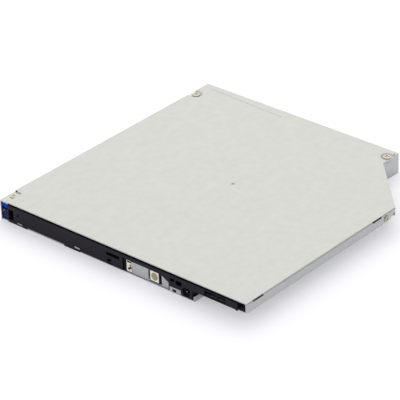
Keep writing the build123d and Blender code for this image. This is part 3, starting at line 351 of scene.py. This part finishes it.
def board(name, mask, track, rough):
    """Solder mask over copper: tracks are bands of a diagonal wave, shifted cell by cell.

    A cell is 2.6 mm across. A wave's bands stand 0.314 of its size apart, here 1.6 mm, which is
    coarser than real tracks so that they show."""
    material, tree, shader = finish_of(name, Roughness=rough)
    place = add(tree, "TexCoord").outputs["Object"]
    cells = add(tree, "TexVoronoi", {"distance": "CHEBYCHEV", "feature": "F1"},
                {"Scale": 1 / (2.6 * MM), "Randomness": 0.8}, {"Vector": place})
    bands = add(tree, "TexWave", {"bands_direction": "DIAGONAL"},
                {"Scale": 1 / (5.0 * MM), "Distortion": 0.0}, {"Vector": cells.outputs["Position"]})
    tint(tree, shader, bands.outputs["Fac"], mask, track, 0.45, 0.6)
    relief(tree, shader, bands.outputs["Fac"], 0.03 * MM, 0.08 * MM, 0.5)
    return material


def solder_mask():
    """Fibreglass board under green solder mask: copper tracks show as paler raised lines."""
    return board("green_solder_mask", "0c3a22", "145232", 0.3)


def package_epoxy():
    """Black moulding compound of the chips: matt, with a fine sandy texture."""
    return moulding("moulding_compound", "1b1b1d", "242426", 0.62, texture=0.12, gloss=0.3)


def gold_contact():
    """Hard gold over nickel on the connector's strips."""
    return bright_metal("gold_plating", "d9a441", "e8bd62", 0.2)


def polyimide():
    """Flexible circuit: copper lines under amber polyimide film, side by side along x.

    The lines are 2 mm apart, coarser than the real 0.5 mm so that they show."""
    material, tree, shader = finish_of("polyimide_film", Roughness=0.28, Coat_Weight=0.4)
    place = add(tree, "TexCoord").outputs["Object"]
    lines = add(tree, "TexWave", {"bands_direction": "X"},
                {"Scale": 1 / (6.3 * MM), "Distortion": 0.0}, {"Vector": place})
    tint(tree, shader, lines.outputs["Fac"], "8a4a14", "c07a2c", 0.4, 0.6)
    relief(tree, shader, lines.outputs["Fac"], 0.02 * MM, 0.04 * MM, 0.5)
    return material


def dark_sheet():
    """Thin steel sheet with a baked black coat: satin, with an orange-peel surface."""
    material, tree, shader = finish_of("black_coated_sheet", Roughness=0.42)
    peel = cloud(tree, 0.6 * MM)
    tint(tree, shader, peel, "1d1d20", "26262a")
    relief(tree, shader, peel, 0.012 * MM, 0.08 * MM)
    return material


def sintered_bronze():
    """Oil-filled sintered bronze bearing: brown gold with small open pores."""
    return bright_metal("sintered_bronze", "8d6a3c", "a98350", 0.4, size=0.2)


def enamelled_copper():
    """Copper wire under clear red enamel: the turns are fine ridges, one above another.

    The ridges are 0.5 mm apart, coarser than real wire so that they show."""
    material, tree, shader = finish_of("enamelled_copper_wire", Metallic=0.85, Roughness=0.28,
                                       Coat_Weight=0.5)
    place = add(tree, "TexCoord").outputs["Object"]
    turns = add(tree, "TexWave", {"bands_direction": "Z"},
                {"Scale": 1 / (1.6 * MM), "Distortion": 0.3}, {"Vector": place})
    tint(tree, shader, turns.outputs["Fac"], "7a3018", "c8693c")
    relief(tree, shader, turns.outputs["Fac"], 0.06 * MM, 0.1 * MM, 1.0)
    return material


def coated_magnet():
    """Bonded magnet under a dark epoxy coat: matt and faintly speckled."""
    return moulding("bonded_magnet", "2b2b2e", "3a3a3d", 0.55, texture=0.3)


def soft_rubber():
    """Black damping rubber: very matt, paler where it bends light at its edges."""
    material = moulding("damping_rubber", "161616", "1e1e1e", 0.8, texture=0.3, gloss=0.25)
    material.node_tree.nodes["Principled BSDF"].inputs["Sheen Weight"].default_value = 0.15
    return material


def cast_zinc():
    """Die-cast zinc of the traverse: dull silver with the flow marks of the casting."""
    material, tree, shader = finish_of("die_cast_zinc", Metallic=1.0)
    flow = cloud(tree, 1.4 * MM, (1, 2.5, 1), 4.0)
    tint(tree, shader, flow, "8f9094", "a9aaae")
    polish(tree, shader, flow, 0.4, 0.55)
    relief(tree, shader, cloud(tree, 0.16 * MM), 0.012 * MM, 0.15 * MM)
    return material


def coated_lens():
    """Objective lens with an anti-reflection coat: clear glass, with the coat's blue-violet sheen
    painted into its base colour and coat tint as a cloudy painted reflection.
    """
    material, tree, shader = finish_of("coated_lens", Roughness=0.04, IOR=1.52, Coat_Weight=1.0,
                                       Coat_Tint=linear("8d7cff"), Transmission_Weight=0.85)
    coat = cloud(tree, 2.5 * MM)
    # the blue-violet base colour is the coat's sheen, painted in as colour: a painted reflection
    tint(tree, shader, coat, "9fb4ff", "7d78dc")
    relief(tree, shader, coat, 0.002 * MM, 0.05 * MM, 0.3)
    return material


FINISHES = {
    "zinc_steel": zinc_steel,
    "rail_steel": bright_steel,
    "nickel_screw": nickel_screw,
    "black_tray": black_abs,
    "blue_moulding": blue_pom,
    # the end cap's navy is the blue acetal darkened as painted shade
    "navy_moulding": blue_pom_painted_shade,
    "grey_moulding": grey_pom,
    "cream_moulding": cream_nylon,
    "olive_button": olive_button,
    "board_green": solder_mask,
    "chip_black": package_epoxy,
    "gold_contact": gold_contact,
    "flex_amber": polyimide,
    "dark_sheet": dark_sheet,
    "bearing_brass": sintered_bronze,
    "copper_coil": enamelled_copper,
    "magnet_grey": coated_magnet,
    "rubber_black": soft_rubber,
    "cast_zinc": cast_zinc,
    "lens_glass": coated_lens,
}


def dress_nodes():
    """Gives every CAD node the finish of its material slot."""
    made = {slot: make() for slot, make in FINISHES.items()}
    for part in frame["record"]["subparts"]:
        piece = nodes[part["node"]]
        piece.data.materials.clear()
        piece.data.materials.append(made[part["material_slot"]])
    return made


def row(u, v, z):
    """Places in millimetres from the front left lower corner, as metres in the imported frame."""
    u, v, z = np.broadcast_arrays(u, v, z)
    return np.stack((u - CORNER[0], v - CORNER[1], z), -1) * MM


def on_traverse(s, t, z):
    """Places on the traverse: s from the spindle along the feed and t across it, turned about Z."""
    along, across = math.cos(FEED_ANGLE), math.sin(FEED_ANGLE)
    return row(DISC[0] + along * s - across * t, DISC[1] + across * s + along * t, z)


def quads(rows, columns, first):
    """Corner numbers of the faces of a grid whose points are numbered row by row from first.

    The last column joins the first."""
    i, j = np.meshgrid(np.arange(rows - 1), np.arange(columns), indexing="ij")
    right = (j + 1) % columns
    above = i + 1
    corners = (i * columns + j, i * columns + right, above * columns + right, above * columns + j)
    return first + np.stack(corners, -1).reshape(-1, 4)


def make_piece(name, grids, body, slot):
    """One piece from grids of points, with its poles closed, riding on a body if one is named."""
    points, faces, first = [], [], 0
    for grid in grids:
        rows, columns = grid.shape[:2]
        points.append(grid.reshape(-1, 3))
        faces.append(quads(rows, columns, first))
        first += rows * columns
    mesh = bpy.data.meshes.new(name)
    mesh.from_pydata(np.concatenate(points).tolist(), [], np.concatenate(faces).tolist())
    work = bmesh.new()
    work.from_mesh(mesh)
    bmesh.ops.remove_doubles(work, verts=work.verts, dist=SAME_POINT)
    bmesh.ops.recalc_face_normals(work, faces=work.faces)
    work.to_mesh(mesh)
    work.free()
    mesh.shade_smooth()
    mesh.set_sharp_from_angle(angle=SHARP_ANGLE)
    mesh.materials.append(finishes[slot])
    piece = bpy.data.objects.new(name, mesh)
    bpy.context.scene.collection.objects.link(piece)
    if body:
        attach(piece, body)
    return piece


def smooth_step(distance, width):
    """0 below 0 and 1 above width, with an even S-shaped rise between."""
    x = np.clip(distance / width, 0, 1)
    return x * x * (3 - 2 * x)


def screw_surface(radius, tall, reach):
    """A pan-head screw with its axis on z and its seat at 0.

    The profile runs from the shank's end up to the rim, round a quarter circle and over a flat
    top. There a point sinks where it lies inside either arm of the cross, by a smooth step of
    its distance to the arm's side times a smooth step of its distance to the arm's end."""
    rim = tall * RIM_SHARE
    bend = np.linspace(0, math.pi / 2, 7)
    inner = np.linspace(radius - rim, 0, 26)[1:]
    r = np.concatenate(([0, SHANK_RADIUS, SHANK_RADIUS, radius],
                        radius - rim + rim * np.cos(bend), inner))
    z = np.concatenate(([-reach, -reach, 0, 0],
                        tall - rim + rim * np.sin(bend), np.full(len(inner), tall)))
    angle = np.linspace(0, FULL_TURN, 80, endpoint=False)
    grid_r, grid_a = np.meshgrid(r, angle, indexing="ij")
    x, y = grid_r * np.cos(grid_a), grid_r * np.sin(grid_a)
    diagonal = (x + y) / math.sqrt(2), (x - y) / math.sqrt(2)
    arm = np.minimum(np.abs(diagonal[0]), np.abs(diagonal[1]))
    sunk = (smooth_step(radius * ARM_SHARE - arm, ARM_SLOPE)
            * smooth_step(radius * CROSS_SHARE - grid_r, END_SLOPE))
    top = (np.arange(len(r)) >= len(r) - len(inner))[:, None]
    return x, y, np.where(top, z[:, None] - RECESS_SHARE * tall * sunk, z[:, None])


def cover_screw_heads():
    """The four screws that hold the cover, with rounded rims and cross recesses."""
    grids = []
    for u, v, radius in SCREWS:
        x, y, z = screw_surface(radius, SCREW_TALL, SCREW_REACH)
        grids.append(row(u + x, v + y, SCREW_SEAT + z))
    u, v, z0 = SIDE_SCREW
    x, y, z = screw_surface(SIDE_RADIUS, SIDE_TALL, SIDE_REACH)
    grids.append(row(u + z, v + x, z0 + y))
    piece = make_piece("cover_screw_heads", grids, "case", "nickel_screw")
    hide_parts("cover_screws")


def feed_screw_thread():
    """The feed screw with its rolled thread.

    The radius falls from the crest by a power of the raised cosine of the angle less the turn
    reached along the screw, and the groove fades out before both plain ends."""
    start, end = FEED_ENDS
    sides, steps = 24, 22       # round the screw, and along it in one lead
    s = np.linspace(start, end, int((end - start) / FEED_LEAD * steps))
    angle = np.linspace(0, FULL_TURN, sides, endpoint=False)
    grid_s, grid_a = np.meshgrid(s, angle, indexing="ij")
    fade = (smooth_step(grid_s - start - FEED_PLAIN[0], THREAD_FADE)
            * smooth_step(end - FEED_PLAIN[1] - grid_s, THREAD_FADE))
    groove = 0.5 - 0.5 * np.cos(grid_a - FULL_TURN * grid_s / FEED_LEAD)
    radius = FEED_RADIUS - THREAD_DEPTH * fade * groove ** 1.5
    grid_s = np.concatenate((grid_s[:1], grid_s, grid_s[-1:]))
    angles = np.concatenate((grid_a[:1], grid_a, grid_a[-1:]))
    radius = np.concatenate((np.zeros((1, sides)), radius, np.zeros((1, sides))))
    t, z = FEED_LINE
    grid = on_traverse(grid_s, t + radius * np.cos(angles), z + radius * np.sin(angles))
    piece = make_piece("feed_screw_thread", [grid], "feed_screw", "rail_steel")
    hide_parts("lead_screw")


def release_pin():
    """End of the manual release's pin in its hole: a cylinder along v with a rounded tip."""
    u0, z0 = RELEASE
    bend = np.linspace(0, math.pi / 2, 6)
    r = np.concatenate((RELEASE_RADIUS * np.sin(bend), [RELEASE_RADIUS, 0]))
    tip = RELEASE_TIP + RELEASE_RADIUS * (1 - np.cos(bend))
    v = np.concatenate((tip, [RELEASE_END, RELEASE_END]))
    angle = np.linspace(0, FULL_TURN, 20, endpoint=False)
    grid_r, grid_a = np.meshgrid(r, angle, indexing="ij")
    grid = row(u0 + grid_r * np.cos(grid_a), v[:, None] + 0 * grid_r, z0 + grid_r * np.sin(grid_a))
    make_piece("release_pin", [grid], "tray", "rail_steel")


def tube(centre, across, up, radius, sides=10):
    """A round wire along a path, in millimetres.

    At each point of the path stands a circle of that radius in the plane of the directions
    across and up, and the two end circles are drawn in to their middle."""
    angle = np.linspace(0, FULL_TURN, sides, endpoint=False)[None, :, None]
    centre = np.concatenate((centre[:1], centre, centre[-1:]))[:, None, :]
    across = np.concatenate((across[:1], across, across[-1:]))[:, None, :]
    spread = np.full((len(centre), 1, 1), radius)
    spread[[0, -1]] = 0
    return centre + spread * (np.cos(angle) * across + np.sin(angle) * np.asarray(up))


def signed_power(wave, power):
    """The size of a cosine or sine raised to a power, with the wave's own sign."""
    return np.sign(wave) * np.abs(wave) ** power


def rounded_block(place, front, rear, bend):
    """A small block with rounded edges from two u and two z, between the v of its front and rear.

    It is a superellipsoid: the same signed power of the cosine and sine of two angles, stretched
    to the block's limits. The larger the bend, the squarer it is."""
    u0, u1, z0, z1 = place
    tilt, turn = np.meshgrid(np.linspace(-math.pi / 2, math.pi / 2, 17),
                             np.linspace(0, FULL_TURN, 32, endpoint=False), indexing="ij")
    level = signed_power(np.cos(tilt), 2 / bend)
    x = level * signed_power(np.cos(turn), 2 / bend)
    y = level * signed_power(np.sin(turn), 2 / bend)
    z = signed_power(np.sin(tilt), 2 / bend)
    return row((u0 + u1) / 2 + x * (u1 - u0) / 2, (front + rear) / 2 + y * (rear - front) / 2,
               (z0 + z1) / 2 + z * (z1 - z0) / 2)


def lamp_shade_blocks():
    """Dark blocks set into the pale lamp holder's openings as painted shade: a bar above and a
    stepped one below it.
    """
    grids = [rounded_block(place, LAMP_SHADE_FRONT, LAMP_SHADE_REAR, LAMP_SHADE_BEND) for place in LAMP_SHADE_BLOCKS]
    # chip-black blocks stand in for the shade inside the lamp's openings: painted shade
    make_piece("lamp_shade_blocks", grids, "tray", "chip_black")


def switch_shade_bars():
    """Dark bars of painted shade round the switch in the shield's opening, standing in for the
    shadow gap: bars at its left, right and lower edge.
    """
    left, right, low, high = SWITCH
    beside_left, beside_right, below = SWITCH_SHADE_WIDTHS
    bars = ((left - beside_left, left, low, high), (right, right + beside_right, low, high),
            (left - beside_left, right + beside_right, low - below, low))
    grids = [rounded_block(place, SWITCH_SHADE_FRONT, SWITCH_SHADE_REAR, SWITCH_SHADE_BEND) for place in bars]
    # chip-black bars drawn as the shadow gap round the switch: painted shade
    make_piece("switch_shade_bars", grids, "tray", "chip_black")


def shield_fold():
    """Narrow bright fold standing from the shield's face, left of the switch."""
    grid = rounded_block(FOLD, FOLD_FRONT, FOLD_REAR, FOLD_BEND)
    make_piece("shield_fold", [grid], "tray", "rail_steel")


def lip_bead():
    """Rolled edge of the case's lip under the front: a round bar along u."""
    u = np.linspace(*LIP, 24)
    v, z = LIP_PLACE
    centre = np.stack((u, 0 * u + v, 0 * u + z), -1)
    across = np.tile((0, 1.0, 0), (len(u), 1))
    grid = tube(centre, across, (0, 0, 1), LIP_RADIUS, LIP_SIDES)
    make_piece("lip_bead", [row(*np.moveaxis(grid, -1, 0))], "case", "zinc_steel")


def pocket_slopes():
    """Rounded slopes of the cover's three pressed pockets.

    Each follows its pocket's wall, which is a straight run, an arc and a straight run, and its
    section falls by a smooth step from the cover's top to the pocket's floor."""
    fall = np.linspace(0, 1, 9)
    floor, top = POCKET_HEIGHTS
    z = np.concatenate(([floor], top - (top - floor) * smooth_step(fall, 1)))
    grids = []
    for u0, v0, radius, side, last, before, after, slope in POCKETS:
        bend = np.linspace(math.pi / 2, last, 48)
        normal = np.stack((side * np.cos(bend), np.sin(bend)), -1)
        way = np.stack((side * np.sin(bend), -np.cos(bend)), -1)
        path = radius * normal
        path = np.concatenate((path[:1] - before * way[:1], path, path[-1:] + after * way[-1:]))
        normal = np.concatenate((normal[:1], normal, normal[-1:]))
        inward = np.concatenate(([0], slope * fall))[None, :, None]
        place = path[:, None] - normal[:, None] * inward
        grid = row(u0 + place[..., 0], v0 + place[..., 1], z)
        ends = [np.broadcast_to(grid[i].mean(0), (1, *grid.shape[1:])) for i in (0, -1)]
        grids.append(np.concatenate((ends[0], grid, ends[1])))
    make_piece("pocket_slopes", grids, "case", "zinc_steel")


def cap_clip():
    """Bright wire clip on the left end cap: a quarter circle in the plane of the front."""
    u, v, z = CLIP_CENTRE
    bend = np.linspace(math.pi, math.pi / 2, 14)
    across = np.stack((np.cos(bend), 0 * bend, np.sin(bend)), -1)
    grid = tube(np.array((u, v, z)) + CLIP_REACH * across, across, (0, 1, 0), CLIP_RADIUS)
    make_piece("cap_clip", [row(*np.moveaxis(grid, -1, 0))], "tray", "rail_steel")


def focus_coil():
    """The focus coil wound round the lens holder.

    Its way round is a superellipse with nearly straight sides, the signed power of the cosine
    and sine, and its section is a strip whose outer side rises and falls by a cosine of the
    height, one ridge for each turn."""
    angle = np.linspace(0, FULL_TURN, 128, endpoint=False)
    low, high = COIL_HEIGHTS
    z = np.linspace(low, high, COIL_TURNS * 8 + 1)
    out = COIL_THICK + COIL_RIDGE * np.cos(FULL_TURN * COIL_TURNS * (z - low) / (high - low))
    z = np.concatenate(([low], z, [high, low]))[:, None]
    out = np.concatenate(([0], out, [0, 0]))[:, None]
    s = LENS_IN + (HOLDER[0] + out) * signed_power(np.cos(angle), COIL_CORNER)
    t = (HOLDER[1] + out) * signed_power(np.sin(angle), COIL_CORNER)
    make_piece("focus_coil", [on_traverse(s, t, z)], "lens", "copper_coil")


def suspension_wires():
    """The four fine wires that carry the lens holder, each a straight round wire."""
    t = np.linspace(*WIRE_RUN, 10)
    across = np.tile((1.0, 0, 0), (len(t), 1))
    grids = []
    for s in (LENS_IN - WIRE_SIDE, LENS_IN + WIRE_SIDE):
        for z in WIRE_HEIGHTS:
            centre = np.stack((0 * t + s, t, 0 * t + z), -1)
            wire = tube(centre, across, (0, 0, 1), WIRE_RADIUS)
            grids.append(on_traverse(*np.moveaxis(wire, -1, 0)))
    piece = make_piece("suspension_wires", grids, None, "bearing_brass")
    start, end = [on_traverse(LENS_IN, place, WIRE_MIDDLE) for place in WIRE_RUN]
    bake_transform(piece)


def camera():
    """The photograph's camera, from its aim, distance, two angles and roll."""
    back = Vector((math.sin(AZIMUTH) * math.cos(ELEVATION),
                   -math.cos(AZIMUTH) * math.cos(ELEVATION), math.sin(ELEVATION)))
    level = Vector((0, 0, 1)).cross(back).normalized()
    upright = back.cross(level)
    right = level * math.cos(ROLL) + upright * math.sin(ROLL)
    up = upright * math.cos(ROLL) - level * math.sin(ROLL)
    lens = bpy.data.cameras.new("camera")
    lens.sensor_width = SENSOR
    lens.lens = FOCAL_PIXELS / PHOTO_WIDTH * SENSOR
    lens.clip_start = CLIP_START
    lens.clip_end = CLIP_END
    eye = bpy.data.objects.new("camera", lens)
    turn = Matrix((right, up, back)).transposed().to_4x4()
    eye.matrix_world = Matrix.Translation(AIM + back * DISTANCE) @ turn
    bpy.context.scene.collection.objects.link(eye)
    bpy.context.scene.camera = eye


def softbox(name, place, size, power, colour):
    """A square area light at place that faces the drive."""
    light = bpy.data.lights.new(name, "AREA")
    light.shape = "SQUARE"
    light.size = size
    light.energy = power
    light.color = linear(colour)[:3]
    lamp = bpy.data.objects.new(name, light)
    lamp.location = place
    lamp.rotation_euler = (-Vector(place)).to_track_quat("-Z", "Y").to_euler()
    bpy.context.scene.collection.objects.link(lamp)


def studio():
    """A white floor, an even white surround and two large softboxes.

    The floor is open under the case, whose underside lies in its plane, so that neither hides
    the other in a view from below."""
    scene = bpy.context.scene
    scene.view_settings.view_transform = "Standard"
    world = bpy.data.worlds.new("surround")
    world.use_nodes = True
    backdrop = world.node_tree.nodes["Background"]
    backdrop.inputs["Color"].default_value = linear(SURROUND_COLOUR)
    backdrop.inputs["Strength"].default_value = SURROUND_STRENGTH
    scene.world = world
    softbox("overhead", *OVERHEAD)
    softbox("fill", *FILL)
    mesh = bpy.data.meshes.new("floor")
    outer = FLOOR_HALF * np.array([(-1, -1, 0), (1, -1, 0), (1, 1, 0), (-1, 1, 0)])
    u0, u1, v0, v1 = FLOOR_OPENING
    inner = row([u0, u1, u1, u0], [v0, v0, v1, v1], 0)
    rim = [(i, (i + 1) % 4, 4 + (i + 1) % 4, 4 + i) for i in range(4)]
    mesh.from_pydata(np.concatenate((outer, inner)).tolist(), [], rim)
    floor = bpy.data.objects.new("floor", mesh)
    scene.collection.objects.link(floor)
    paper = finish_of("white_paper", Roughness=0.9, Base_Color=linear(PAPER_COLOUR),
                      Emission_Color=linear(PAPER_COLOUR), Emission_Strength=PAPER_GLOW)[0]
    mesh.materials.append(paper)


camera()
finishes = dress_nodes()
cover_screw_heads()
feed_screw_thread()
release_pin()
lamp_shade_blocks()
switch_shade_bars()
shield_fold()
lip_bead()
pocket_slopes()
cap_clip()
focus_coil()
suspension_wires()
studio()
